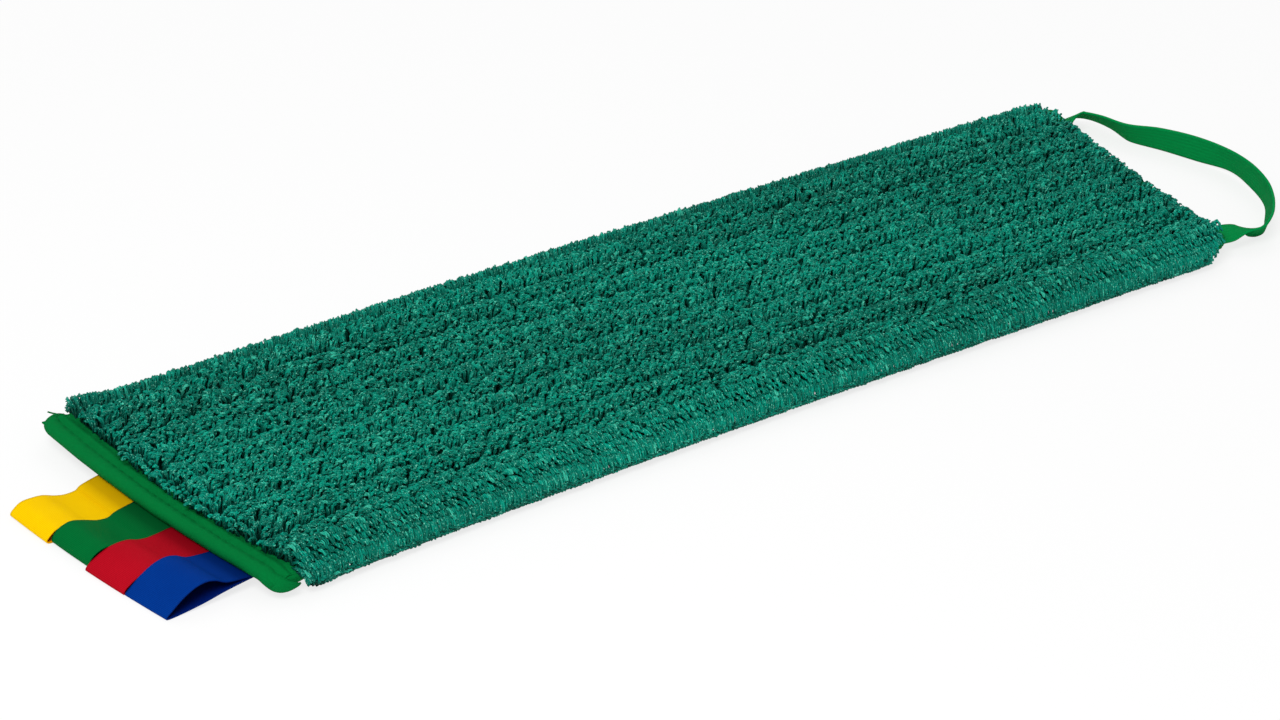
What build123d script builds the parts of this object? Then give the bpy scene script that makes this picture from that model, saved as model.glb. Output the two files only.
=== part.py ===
"""Flat mop cover with a tufted pile, a frame pocket, colour tags and a hook strap.

The cover lies as it is put down to dry: pile up, back down. Units are millimetres.
X runs along the cover, from the tag end (-X) to the strap end (+X), Y runs across it
and +Z points out of the pile. The origin is in the middle of the cover, on the flat
face of its back, where the back swells between its tapes and the mop frame lies on it.
"""
import os

from build123d import *

# ---------------------------------------------------------------- driving dimensions

# Whole cover
COVER_LENGTH = 462.0        # over the two end bindings
COVER_WIDTH = 132.0         # over the pile that hangs past both long edges
BODY_WIDTH = 126.0          # over the two side hems

# Layers, from the back up
CLOTH = 0.6                 # back cloth and pocket cloth
CORE = 1.4                  # absorbent felt between back cloth and tuft backing
BACKING = 0.6               # woven backing that the pile is tufted into
PILE = 7.2                  # height of the pile above its backing
TAPE = 0.6                  # one thickness of binding or hem tape
SWELL = 0.3                 # how far the back stands out between its tapes

# Tapes round the edges
TAG_BINDING_DEPTH = 7.0     # how far the tag end's binding reaches over the cover
TAG_BINDING_WIDTH = 130.0
TAG_BINDING_ROUND = 1.6
FACING_WIDTH = 3.5          # flat strip beside the binding, before the pile starts
STRAP_BINDING_DEPTH = 5.0
SIDE_HEM_DEPTH = 6.0

# Frame pocket on the back, open towards the middle
POCKET_DEPTH = 108.0        # from the closed end to the mouth
POCKET_GAP = 5.1            # clear height inside
POCKET_INSET = 0.5          # between a side hem and the pocket's side wall
POCKET_HEM_DEPTH = 8.0
SWELL_INSET = 1.0           # between the swollen back and whatever is sewn beside it
POCKET_SETBACK = 10.5       # how far the pocket's end hem stands in from the cover's end
POCKET_END_HEM_DEPTH = 7.1

# Pile
INNER_ROWS = 10
ROW_GAP = 0.4
ROW_ROUND = 2.6
EDGE_ROW_ROUND = 4.5
EDGE_ROW_CLEARANCE = 0.3    # between a side hem and the pile that hangs over it

# Colour tags, folded ribbons sewn in under the tag end's binding
TAG_NAMES = ("yellow", "green", "red", "blue")
RIBBON = 0.6
FOLD_AIR = 0.1              # between the two layers of a ribbon where it is sewn in
TAG_WIDTH = 20.0
TAG_GAP = 0.4
TAGS_MIDDLE = -11.9         # middle of the four tags across the cover
TAG_SEWN = 6.0              # ribbon held under the binding
TAG_STUB = 3.0              # ribbon that stays straight outside it, up to the bend

# Side view of each tag's loop: (distance past the bend, height above the ground) of the
# corners of the middle of its ribbon, between its two roots, and the radius at each corner
TAG_CORNERS = {
    "yellow": [(6.0, 3.0), (12.0, 2.9), (20.0, 6.2), (26.0, 5.2), (30.0, 0.3), (8.0, 0.3)],
    "green": [(7.0, 2.9), (14.0, 4.2), (20.0, 6.8), (25.0, 5.6), (28.3, 0.3), (9.0, 0.3)],
    "red": [(6.0, 5.3), (12.0, 6.3), (19.0, 6.2), (24.0, 4.2), (27.5, 0.3), (16.0, 0.9)],
    "blue": [(5.0, 5.7), (10.0, 7.6), (16.0, 7.6), (22.0, 5.4), (27.0, 0.3), (17.0, 1.5)],
}
TAG_CORNER_RADII = [6.0, 6.0, 5.0, 2.5, 0.8, 6.0]

# Hook strap at the other end
STRAP_WIDTH = 12.0
STRAP_THICKNESS = 1.0
STRAP_REACH = 50.0          # how far the loop stands out past the cover
STRAP_INSET = 5.0           # from the long edge to the strap's sewn end
STRAP_SEWN = 22.0
STRAP_STUB = 3.0
STRAP_FLAT = 12.0           # the flat stretch outside the bend, before it turns on edge
STRAP_FAR_DIP = 19.0        # how far short of its reach the loop turns on the far side
STRAP_FAR_BEND = 4.0
STRAP_NEAR_DIP = 14.0
STRAP_CREST_OFFSET = 12.0   # the loop reaches furthest a little to the near side
STRAP_CORNER_RADII = [10.0, 16.0, 12.0]

# The bends that the tags and the strap swing about
BEND_GAP = 0.9              # clear length at a bend, so that two layers can turn there

# Stitching that stands on the surface
THREAD = 0.5
STITCH = 3.0
STITCH_PITCH = 4.2
SEAM_INSET = 1.6            # from the edge of a tape to its seam
BAR_TACK_ROWS = 4
BAR_TACK_PITCH = 4.0
BAR_TACK_SPREAD = 3.6       # between the stitches of one row

# ---------------------------------------------------------------- derived places

MARGIN = SWELL              # height of the back's outer face where tapes and pocket press it
GROUND = MARGIN - POCKET_GAP - CLOTH - TAPE
LEFT = -COVER_LENGTH / 2
RIGHT = COVER_LENGTH / 2
BODY_HALF = BODY_WIDTH / 2
BODY_TOP = MARGIN + CLOTH + CORE + BACKING
PILE_TOP = BODY_TOP + PILE
BINDING_TOP = BODY_TOP + TAPE
INNER_LEFT = LEFT + TAG_BINDING_DEPTH
INNER_RIGHT = RIGHT - STRAP_BINDING_DEPTH
INNER_HALF = BODY_HALF - SIDE_HEM_DEPTH
PILE_LEFT = INNER_LEFT + FACING_WIDTH
POCKET_HEM_EDGE = LEFT + POCKET_SETBACK
POCKET_END = POCKET_HEM_EDGE + POCKET_END_HEM_DEPTH
POCKET_MOUTH = POCKET_END + CLOTH + POCKET_DEPTH
POCKET_HALF = INNER_HALF - POCKET_INSET
POCKET_WIDTH = 2 * (POCKET_HALF - CLOTH)
PANEL_BOTTOM = GROUND + TAPE
HEM_TOP = PANEL_BOTTOM + CLOTH + TAPE
TAG_PITCH = TAG_WIDTH + TAG_GAP
TAG_BEND_X = LEFT - TAG_STUB
TAG_ROOT = 2 * RIBBON + FOLD_AIR
TAG_ROOT_Z = MARGIN - TAPE - TAG_ROOT / 2
STRAP_BEND_X = RIGHT + STRAP_STUB
STRAP_Z = MARGIN - TAPE - STRAP_THICKNESS / 2
STRAP_ROOT_Y = BODY_HALF - STRAP_INSET - STRAP_WIDTH / 2

os.makedirs("parts", exist_ok=True)


def save(builder, name):
    """Label one finished piece and write it as its own file."""
    builder.part.label = name
    export_step(builder.part, f"parts/{name}.step")


def tag_middle(index):
    """Place across the cover of the middle of a tag, counted from the far side."""
    return TAGS_MIDDLE + (len(TAG_NAMES) - 1 - 2 * index) / 2 * TAG_PITCH


# ---------------------------------------------------------------- layers of the cover


layer_length = COVER_LENGTH - 2 * TAPE
layer_width = BODY_WIDTH - 2 * TAPE
core_bottom = MARGIN + CLOTH
layers = (("core_felt", core_bottom, CORE), ("tuft_backing", core_bottom + CORE, BACKING))
for name, bottom, thickness in layers:
    with BuildPart() as layer:
        with BuildSketch(Plane.XY.offset(bottom)):
            Rectangle(layer_length, layer_width)
        extrude(amount=thickness)
    save(layer, name)

swell_left = POCKET_MOUTH + SWELL_INSET
swell_right = RIGHT - STRAP_SEWN - SWELL_INSET
with BuildPart() as back_cloth:
    with BuildSketch(Plane.XY.offset(MARGIN)):
        Rectangle(layer_length, layer_width)
    extrude(amount=CLOTH)
    with BuildSketch(Plane.XY):
        with Locations(((swell_left + swell_right) / 2, 0)):
            Rectangle(swell_right - swell_left, 2 * (INNER_HALF - SWELL_INSET))
    extrude(amount=MARGIN)
save(back_cloth, "back_cloth")

# ---------------------------------------------------------------- tapes round the edges


def folded_tape(name, plane, depth, low, high, length, rounding=0):
    """A tape folded over an edge: its mouth faces the plane's -X, its fold is at x = 0."""
    with BuildPart() as tape:
        with BuildSketch(plane):
            with Locations((-depth / 2, (low + high) / 2)):
                outside = Rectangle(depth, high - low)
            if rounding:
                fillet(outside.vertices().group_by(Axis.X)[-1], rounding)
            with Locations((-TAPE - depth / 2, (low + high) / 2)):
                Rectangle(depth, high - low - 2 * TAPE, mode=Mode.SUBTRACT)
        extrude(amount=length / 2, both=True)
    save(tape, name)


def edge_plane(origin, outward):
    """A plane across an edge, with its X pointing outward and its Y up."""
    normal = Vector(*outward).cross(Vector(0, 0, 1))
    return Plane(origin=origin, x_dir=outward, z_dir=normal)


side_length = INNER_RIGHT - INNER_LEFT
side_middle = (INNER_RIGHT + INNER_LEFT) / 2
for side, name in ((-1, "side_hem_near"), (1, "side_hem_far")):
    folded_tape(name, edge_plane((side_middle, side * BODY_HALF, 0), (0, side, 0)),
                SIDE_HEM_DEPTH, MARGIN - TAPE, BINDING_TOP, side_length)

folded_tape("tag_end_binding", edge_plane((LEFT, 0, 0), (-1, 0, 0)),
            TAG_BINDING_DEPTH, MARGIN - TAPE, BINDING_TOP, TAG_BINDING_WIDTH, TAG_BINDING_ROUND)
folded_tape("strap_end_binding", edge_plane((RIGHT, 0, 0), (1, 0, 0)),
            STRAP_BINDING_DEPTH, MARGIN - TAPE, BINDING_TOP, BODY_WIDTH)

with BuildPart() as facing:
    with BuildSketch(Plane.XY.offset(BODY_TOP)):
        with Locations(((INNER_LEFT + PILE_LEFT) / 2, 0)):
            Rectangle(FACING_WIDTH, 2 * INNER_HALF)
    extrude(amount=TAPE)
save(facing, "tag_end_facing")

# ---------------------------------------------------------------- pile, row by row


def inner_row(name, middle, width):
    """A ridge of pile with rounded shoulders, standing on the backing."""
    with BuildPart() as row:
        with BuildSketch(Plane.YZ.offset(PILE_LEFT)):
            with Locations((middle, BODY_TOP + PILE / 2)):
                ridge = Rectangle(width, PILE)
            fillet(ridge.vertices().group_by(Axis.Y)[-1], ROW_ROUND)
        extrude(amount=INNER_RIGHT - PILE_LEFT)
    save(row, name)


def edge_row(name, side):
    """The pile that covers a side hem and hangs past it to the ground."""
    inside = side * INNER_HALF
    hem = side * (BODY_HALF + EDGE_ROW_CLEARANCE)
    outside = side * COVER_WIDTH / 2
    with BuildPart() as row:
        with BuildSketch(Plane.YZ.offset(PILE_LEFT)):
            with BuildLine():
                Polyline((inside, BINDING_TOP), (inside, PILE_TOP), (outside, PILE_TOP),
                         (outside, GROUND), (hem, GROUND), (hem, BINDING_TOP), close=True)
            drape = make_face()
            crown = drape.vertices().group_by(Axis.Y)[-1].sort_by(lambda v: side * v.X)
            fillet(crown[-1], EDGE_ROW_ROUND)
        extrude(amount=INNER_RIGHT - PILE_LEFT)
    save(row, name)


row_pitch = 2 * INNER_HALF / INNER_ROWS
edge_row("pile_row_01", -1)
for index in range(INNER_ROWS):
    middle = -INNER_HALF + (index + 0.5) * row_pitch
    inner_row(f"pile_row_{index + 2:02d}", middle, row_pitch - ROW_GAP)
edge_row(f"pile_row_{INNER_ROWS + 2:02d}", 1)

# ---------------------------------------------------------------- frame pocket

panel_end = POCKET_HEM_EDGE + TAPE
panel_length = POCKET_MOUTH - TAPE - panel_end
pocket_length = POCKET_MOUTH - TAPE - POCKET_END
with BuildPart() as pocket_panel:
    with BuildSketch(Plane.XY.offset(PANEL_BOTTOM)):
        with Locations((panel_end + panel_length / 2, 0)):
            Rectangle(panel_length, 2 * POCKET_HALF)
    extrude(amount=CLOTH)
    with BuildSketch(Plane.XY.offset(PANEL_BOTTOM)):
        with Locations((POCKET_END + pocket_length / 2, 0)):
            Rectangle(pocket_length, 2 * POCKET_HALF)
        with Locations((POCKET_END + CLOTH + pocket_length / 2, 0)):
            Rectangle(pocket_length, POCKET_WIDTH, mode=Mode.SUBTRACT)
    extrude(amount=MARGIN - PANEL_BOTTOM)
save(pocket_panel, "pocket_panel")

folded_tape("pocket_mouth_hem", edge_plane((POCKET_MOUTH, 0, 0), (1, 0, 0)),
            POCKET_HEM_DEPTH, GROUND, HEM_TOP, POCKET_WIDTH)
folded_tape("pocket_end_hem", edge_plane((POCKET_HEM_EDGE, 0, 0), (-1, 0, 0)),
            POCKET_END_HEM_DEPTH, GROUND, HEM_TOP, 2 * POCKET_HALF)

# ---------------------------------------------------------------- colour tags


def tag_root(name, middle):
    """The two layers of a ribbon where they are sewn in, up to the bend."""
    with BuildPart() as root:
        with BuildSketch(Plane.XY.offset(TAG_ROOT_Z - TAG_ROOT / 2)):
            with Locations((TAG_BEND_X + (TAG_STUB + TAG_SEWN) / 2, middle)):
                Rectangle(TAG_STUB + TAG_SEWN, TAG_WIDTH)
        extrude(amount=TAG_ROOT)
    save(root, name)


def tag_loop(name, middle, corners):
    """A ribbon that leaves the bend, folds over at its tip and comes back."""
    root_height = TAG_ROOT_Z - GROUND
    layer_offset = (RIBBON + FOLD_AIR) / 2
    path = [(BEND_GAP, root_height + layer_offset), *corners,
            (BEND_GAP, root_height - layer_offset)]
    side_view = Plane(origin=(TAG_BEND_X, middle, GROUND), x_dir=(-1, 0, 0), z_dir=(0, 1, 0))
    with BuildPart() as loop:
        with BuildSketch(side_view):
            with BuildLine():
                FilletPolyline(*path, radius=TAG_CORNER_RADII)
            trace(line_width=RIBBON)
        extrude(amount=TAG_WIDTH / 2, both=True)
    save(loop, name)


for index, colour in enumerate(TAG_NAMES):
    tag_root(f"tag_{colour}_root", tag_middle(index))
    tag_loop(f"tag_{colour}", tag_middle(index), TAG_CORNERS[colour])

# ---------------------------------------------------------------- hook strap

sewn_middle = STRAP_BEND_X - (STRAP_STUB + STRAP_SEWN) / 2
for side, name in ((-1, "strap_root_near"), (1, "strap_root_far")):
    with BuildPart() as strap_root:
        with BuildSketch(Plane.XY.offset(STRAP_Z - STRAP_THICKNESS / 2)):
            with Locations((sewn_middle, side * STRAP_ROOT_Y)):
                Rectangle(STRAP_STUB + STRAP_SEWN, STRAP_WIDTH)
        extrude(amount=STRAP_THICKNESS)
    save(strap_root, name)

flat_middle = STRAP_BEND_X + BEND_GAP + STRAP_FLAT / 2
turn_x = STRAP_BEND_X + STRAP_FLAT - STRAP_THICKNESS
crest_x = RIGHT + STRAP_REACH
strap_route = [(turn_x, STRAP_ROOT_Y), (crest_x - STRAP_FAR_DIP, STRAP_ROOT_Y - STRAP_FAR_BEND),
               (crest_x, -STRAP_CREST_OFFSET), (crest_x - STRAP_NEAR_DIP, -STRAP_ROOT_Y),
               (turn_x, -STRAP_ROOT_Y)]
with BuildPart() as strap_loop:
    with BuildSketch(Plane.XY.offset(STRAP_Z - STRAP_THICKNESS / 2)):
        with Locations((flat_middle, STRAP_ROOT_Y), (flat_middle, -STRAP_ROOT_Y)):
            Rectangle(STRAP_FLAT, STRAP_WIDTH)
    extrude(amount=STRAP_THICKNESS)
    with BuildSketch(Plane.XY.offset(GROUND)):
        with BuildLine():
            FilletPolyline(*strap_route, radius=STRAP_CORNER_RADII)
        trace(line_width=STRAP_THICKNESS)
    extrude(amount=STRAP_WIDTH)
save(strap_loop, "strap_loop")

# ---------------------------------------------------------------- stitching


def seam(name, stitches):
    """Stitches that lie on a surface: (x, y, z, True when the seam runs along X)."""
    with BuildPart() as thread:
        for x, y, z, along_x in stitches:
            size = (STITCH, THREAD) if along_x else (THREAD, STITCH)
            with Locations((x, y, z)):
                Box(*size, THREAD)
    save(thread, name)


def stitch_places(span):
    """Evenly spaced middles of the stitches along a seam, about its own middle."""
    count = int(span // STITCH_PITCH)
    return [(index - (count - 1) / 2) * STITCH_PITCH for index in range(count)]


on_top = BINDING_TOP + THREAD / 2
tag_seam_x = INNER_LEFT - SEAM_INSET
strap_seam_x = INNER_RIGHT + SEAM_INSET
seam("tag_end_stitches", [(tag_seam_x, y, on_top, False) for y in stitch_places(BODY_WIDTH)])
seam("strap_end_stitches", [(strap_seam_x, y, on_top, False) for y in stitch_places(BODY_WIDTH)])

under_panel = PANEL_BOTTOM - THREAD / 2
pocket_seam_y = POCKET_HALF - SEAM_INSET
seam_length = POCKET_MOUTH - POCKET_HEM_DEPTH - POCKET_END
pocket_middle = POCKET_END + seam_length / 2
pocket_stitches = []
for side in (-1, 1):
    for x in stitch_places(seam_length - STITCH):
        pocket_stitches.append((pocket_middle + x, side * pocket_seam_y, under_panel, True))
seam("pocket_stitches", pocket_stitches)

under_strap = STRAP_Z - STRAP_THICKNESS / 2 - THREAD / 2
bar_tacks = []
for side in (-1, 1):
    for row in range(BAR_TACK_ROWS):
        x = RIGHT - STRAP_SEWN + SEAM_INSET + row * BAR_TACK_PITCH
        for y in (-BAR_TACK_SPREAD, 0, BAR_TACK_SPREAD):
            bar_tacks.append((x, side * STRAP_ROOT_Y + y, under_strap, False))
seam("strap_bar_tacks", bar_tacks)
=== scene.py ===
"""Looks of a flat mop cover: twisted pile, bound ends, folded ribbon tags and a hook strap.

Everything is in metres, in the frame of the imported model: X along the cover towards the
strap, Y across it, Z out of the pile. The cover lies pile up on the floor at its lowest point.
"""

from math import cos, pi, radians, sin

import bpy
import numpy as np
from mathutils import Matrix, Vector


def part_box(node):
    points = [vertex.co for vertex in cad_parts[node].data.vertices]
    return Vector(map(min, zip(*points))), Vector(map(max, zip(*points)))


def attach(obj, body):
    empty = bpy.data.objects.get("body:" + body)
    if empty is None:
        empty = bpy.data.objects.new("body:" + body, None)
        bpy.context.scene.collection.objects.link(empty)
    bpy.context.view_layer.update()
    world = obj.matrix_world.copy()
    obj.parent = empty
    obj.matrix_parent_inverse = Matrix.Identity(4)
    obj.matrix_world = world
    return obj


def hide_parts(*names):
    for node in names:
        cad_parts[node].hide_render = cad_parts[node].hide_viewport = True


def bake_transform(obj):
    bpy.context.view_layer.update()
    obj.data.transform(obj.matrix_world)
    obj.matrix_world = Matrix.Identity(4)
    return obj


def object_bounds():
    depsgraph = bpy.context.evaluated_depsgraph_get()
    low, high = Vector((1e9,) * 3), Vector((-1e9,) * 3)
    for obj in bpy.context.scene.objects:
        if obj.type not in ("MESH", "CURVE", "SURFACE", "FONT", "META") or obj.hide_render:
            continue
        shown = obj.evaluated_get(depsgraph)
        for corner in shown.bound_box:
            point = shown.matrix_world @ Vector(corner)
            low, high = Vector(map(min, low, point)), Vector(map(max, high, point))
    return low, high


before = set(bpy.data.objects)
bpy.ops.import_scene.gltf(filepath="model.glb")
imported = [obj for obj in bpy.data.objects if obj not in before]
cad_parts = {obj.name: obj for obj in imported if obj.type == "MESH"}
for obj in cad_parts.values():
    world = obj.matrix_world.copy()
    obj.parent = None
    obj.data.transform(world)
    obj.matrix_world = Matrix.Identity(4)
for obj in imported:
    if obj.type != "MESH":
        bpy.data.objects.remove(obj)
cad_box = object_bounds()

MM = 0.001
CLOTH_THICKNESS = 0.6 * MM   # of the back cloth, the pocket and the rolled binding
TAPE_THICKNESS = 0.5 * MM    # of the flat tapes and the ribbon tags
STITCH_PITCH = 4.3 * MM      # from one pucker of a seam to the next

# ---------------------------------------------------------------- sizes from the frame

FLOOR = float(cad_box[0][2])
TAG_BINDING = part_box("tag_end_binding")
STRAP_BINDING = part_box("strap_end_binding")
BACK_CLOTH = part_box("back_cloth")
TUFT_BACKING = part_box("tuft_backing")
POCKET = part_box("pocket_panel")
MOUTH_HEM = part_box("pocket_mouth_hem")
END_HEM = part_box("pocket_end_hem")
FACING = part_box("tag_end_facing")
NEAR_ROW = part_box("pile_row_01")
LEFT = float(TAG_BINDING[0][0])
RIGHT = float(STRAP_BINDING[1][0])
HALF_LENGTH = (RIGHT - LEFT) / 2
HALF_WIDTH = float(-NEAR_ROW[0][1])
BODY_HALF = float(STRAP_BINDING[1][1])
BACK_UNDERSIDE = float(BACK_CLOTH[1][2]) - CLOTH_THICKNESS
BODY_TOP = float(TUFT_BACKING[1][2])
PILE_LEFT = float(NEAR_ROW[0][0])
PILE_RIGHT = float(NEAR_ROW[1][0])

# How the cover lies: it bows sideways, its ends lean and bow, and one corner droops. A pair of
# lengths is for the tag end and for the strap end.
SIDE_BOW = 3.9 * MM
BOW_SKEW = 0.45              # share by which the tag end's half bows more, and the other's less
NEAR_BOW_LOSS = 0.2          # share by which the near long edge bows less
BOW_PAST_ENDS = -0.12        # least share of the bow, a little past both ends
FAR_STRETCH = (2.4 * MM, 1.4 * MM)
FAR_CORNER_PULL = 3.1 * MM   # outward, at the tag end
NEAR_CORNER_PULL = 1.5 * MM  # outward, at the tag end
PULL_POWER = 7               # keeps both pulls close to their corner
END_LEAN = (6.2 * MM, 11.0 * MM)
END_BOW = (3.6 * MM, 3.8 * MM)
END_REACH = (-0.9 * MM, 0.2 * MM)
END_SHARE = 0.6              # of the half length, over which bow and reach of the ends grow
CORNER_DROOP = 4.2 * MM      # of the near corner at the tag end
DROOP_ALONG = (0.88, 1.0)    # shares of the half length and of the half width between which
DROOP_ACROSS = (0.84, 1.02)  # the droop grows

random = np.random.default_rng(7)


def smooth_step(values, low, high):
    """0 below low, 1 above high and a smooth rise between them."""
    share = np.clip((values - low) / (high - low), 0, 1)
    return share * share * (3 - 2 * share)


def lie(points):
    """Where a point of the square cover comes to lie."""
    points = np.array(points, dtype=float)
    along = points[..., 0] / HALF_LENGTH
    across = points[..., 1] / HALF_WIDTH
    droop = smooth_step(-along, *DROOP_ALONG) * smooth_step(-across, *DROOP_ACROSS)
    lean = np.where(along < 0, *END_LEAN) * along * across
    bow = np.where(along < 0, *END_BOW) * across**2 + np.where(along < 0, *END_REACH)
    points[..., 0] += lean + bow * smooth_step(np.abs(along), 0, END_SHARE)
    near_tags = ((1 - along) / 2) ** 2
    far, near = np.maximum(across, 0), np.minimum(across, 0)
    side_bow = SIDE_BOW * np.clip(1 - along**2, BOW_PAST_ENDS, 1) * (1 - BOW_SKEW * along)
    stretch = FAR_STRETCH[1] + (FAR_STRETCH[0] - FAR_STRETCH[1]) * near_tags
    stretch = stretch + FAR_CORNER_PULL * np.minimum(near_tags, 1.05) ** PULL_POWER
    points[..., 1] += side_bow * (1 + NEAR_BOW_LOSS * near) + stretch * far
    points[..., 1] += NEAR_CORNER_PULL * np.minimum(near_tags, 1) ** PULL_POWER * near**5
    points[..., 2] -= CORNER_DROOP * droop
    return points


# ---------------------------------------------------------------- shader expressions


class Wire:
    """One output of a node. Arithmetic on it adds Math nodes to its tree."""

    def __init__(self, finish, socket):
        self.finish = finish
        self.socket = socket

    def math(self, operation, *values):
        return self.finish.node("ShaderNodeMath", {"operation": operation}, dict(enumerate(values)))

    def __add__(self, other):
        return self.math("ADD", self, other)

    __radd__ = __add__

    def __mul__(self, other):
        return self.math("MULTIPLY", self, other)

    __rmul__ = __mul__

    def sine(self):
        return self.math("SINE", self)

    def within(self, low, high):
        """0 below low, 1 above high and straight between them."""
        limits = {"Value": self, "From Min": low, "From Max": high}
        return self.finish.node("ShaderNodeMapRange", {"clamp": True}, limits)


class Finish:
    """One material: a Principled shader and the nodes that feed it."""

    def __init__(self, name, roughness, **constants):
        self.material = bpy.data.materials.new(name)
        self.material.use_nodes = True
        self.tree = self.material.node_tree
        self.shader = self.tree.nodes["Principled BSDF"]
        self.set("Roughness", roughness)
        for socket, value in constants.items():
            self.set(socket.replace("_", " "), value)

    def set(self, name, value):
        socket = self.shader.inputs[name]
        if isinstance(value, Wire):
            self.tree.links.new(value.socket, socket)
        else:
            socket.default_value = value

    def node(self, kind, settings=None, inputs=None, output=0):
        """Add a node with its settings and inputs, and return one of its outputs."""
        node = self.tree.nodes.new(kind)
        for key, value in (settings or {}).items():
            setattr(node, key, value)
        for key, value in (inputs or {}).items():
            if isinstance(value, Wire):
                self.tree.links.new(value.socket, node.inputs[key])
            else:
                node.inputs[key].default_value = value
        return Wire(self, node.outputs[output])

    def mark(self, name):
        """A number that the mesh carries at its points."""
        return self.node("ShaderNodeAttribute", {"attribute_name": name}, output="Fac")

    def weave_place(self):
        """Place on the cloth, in metres along and across its threads."""
        cloth = self.node("ShaderNodeUVMap", {"uv_map": "weave"})
        along = self.node("ShaderNodeSeparateXYZ", None, {"Vector": cloth}, "X")
        across = self.node("ShaderNodeSeparateXYZ", None, {"Vector": cloth}, "Y")
        return along, across

    def noise(self, scale, detail=2.0):
        place = self.node("ShaderNodeTexCoord", output="Object")
        inputs = {"Vector": place, "Scale": scale, "Detail": detail}
        return self.node("ShaderNodeTexNoise", None, inputs, "Fac")

    def blend(self, factor, first, second):
        """Mix two colours."""
        settings = {"data_type": "RGBA"}
        return self.node("ShaderNodeMix", settings, {0: factor, 6: first, 7: second}, 2)

    def bump(self, height, distance, strength=1.0):
        inputs = {"Height": height, "Distance": distance, "Strength": strength}
        self.set("Normal", self.node("ShaderNodeBump", None, inputs))


def colour(red, green, blue):
    """A linear colour from the 0 to 255 values that a screen shows."""
    def linear(value):
        value /= 255
        return value / 12.92 if value <= 0.04045 else ((value + 0.055) / 1.055) ** 2.4
    return (linear(red), linear(green), linear(blue), 1.0)


# ---------------------------------------------------------------- finishes


def pile_finish():
    """Teal microfibre yarn: painted shade at its roots, strands painted pale and fine specks
    painted bright as highlights, with fine fibres.
    """
    finish = Finish("pile_teal", 0.5, Specular_IOR_Level=0.08)
    tone_and_light = finish.mark("tone_and_light")
    depth = finish.mark("depth")
    fibre = finish.noise(1600.0)
    # The tone mark holds the yarn's random tone, painted light and shade of its rows and painted
    # highlights
    yarn = finish.blend(tone_and_light.within(0, 1), colour(0, 104, 86), colour(0, 164, 138))
    # Painted highlights: strands whose tone lies above 1 are painted pale
    painted_highlight_strands = finish.blend(tone_and_light.within(1.0, 1.6) * 0.5, yarn, colour(80, 200, 170))
    # Painted glints: the brightest specks of the fibre noise are painted near white
    painted_glint = fibre.within(0.6, 0.7) * 0.75
    speckled = finish.blend(painted_glint, painted_highlight_strands, colour(132, 232, 204))
    # Painted shade: the yarn turns dark teal towards its roots, where the loops shade each other
    finish.set("Base Color", finish.blend(depth.within(0.1, 0.6), colour(0, 52, 42), speckled))
    finish.bump(fibre, 0.2 * MM, 0.5)
    return finish.material


def woven_finish(name, base, shade, thread, roughness=0.8, ribs=0.0):
    """Plain woven cloth: over and under threads, with slow changes of colour."""
    finish = Finish(name, roughness, Specular_IOR_Level=0.04)
    along, across = finish.weave_place()
    turn = 2 * pi / thread
    over = (along * turn).sine() * (across * turn).sine()
    rib = (across * (2 * pi / (thread * 2.5))).sine()
    weave = over * (1 - ribs) + rib * ribs
    patch = finish.noise(60.0, 3.0)
    darker = finish.blend(weave.within(-0.9, 0.6), shade, base)
    finish.set("Base Color", finish.blend(patch.within(0.3, 0.8) * 0.3, darker, shade))
    finish.bump(weave, thread * 0.22, 0.7)
    return finish.material


PILE = pile_finish()
BINDING = woven_finish("green_binding", colour(0, 136, 64), colour(0, 102, 46), 0.55 * MM)
CLOTH = woven_finish("green_cloth", colour(8, 122, 68), colour(0, 92, 50), 0.9 * MM)
BACKING = woven_finish("pile_backing", colour(0, 52, 42), colour(0, 32, 26), 1.2 * MM)
FELT = woven_finish("core_felt", colour(214, 214, 206), colour(188, 188, 178), 1.4 * MM)
STRAP = woven_finish("green_strap", colour(0, 152, 76), colour(0, 132, 64), 0.7 * MM, ribs=0.3)
THREAD = woven_finish("green_thread", colour(0, 118, 54), colour(0, 84, 38), 0.35 * MM)
# Each ribbon's base, its shade and the painted shade inside its fold
RIBBON_COLOURS = {
    "yellow": (colour(254, 212, 0), colour(242, 184, 0), colour(250, 150, 0)),
    "green": (colour(0, 112, 50), colour(0, 92, 42), colour(0, 80, 34)),
    "red": (colour(190, 14, 34), colour(158, 6, 24), colour(130, 0, 20)),
    "blue": (colour(0, 58, 146), colour(0, 40, 120), colour(0, 24, 96)),
}

# ---------------------------------------------------------------- mesh helpers


def unit(vectors):
    """The vectors with a length of one."""
    return vectors / np.maximum(np.linalg.norm(vectors, axis=-1, keepdims=True), 1e-12)


def new_piece(name, points, quads, finish, uvs=None, marks=None):
    """A smooth mesh of quads. uvs maps a layer's name to one place for each face corner."""
    mesh = bpy.data.meshes.new(name)
    mesh.vertices.add(len(points))
    mesh.vertices.foreach_set("co", np.ascontiguousarray(points, dtype=np.float32).ravel())
    mesh.loops.add(quads.size)
    mesh.loops.foreach_set("vertex_index", np.ascontiguousarray(quads, dtype=np.int32).ravel())
    mesh.polygons.add(len(quads))
    mesh.polygons.foreach_set("loop_start", np.arange(0, quads.size, 4, dtype=np.int32))
    mesh.update(calc_edges=True)
    for layer, places in (uvs or {}).items():
        data = mesh.uv_layers.new(name=layer).data
        data.foreach_set("uv", np.ascontiguousarray(places, dtype=np.float32).ravel())
    for mark, values in (marks or {}).items():
        data = mesh.attributes.new(mark, "FLOAT", "POINT").data
        data.foreach_set("value", np.ascontiguousarray(values, dtype=np.float32).ravel())
    mesh.shade_smooth()
    mesh.materials.append(finish)
    piece = bpy.data.objects.new(name, mesh)
    bpy.context.scene.collection.objects.link(piece)
    return piece


CURVE_STEPS = 24             # of a smooth path, from one given point to the next


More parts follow.
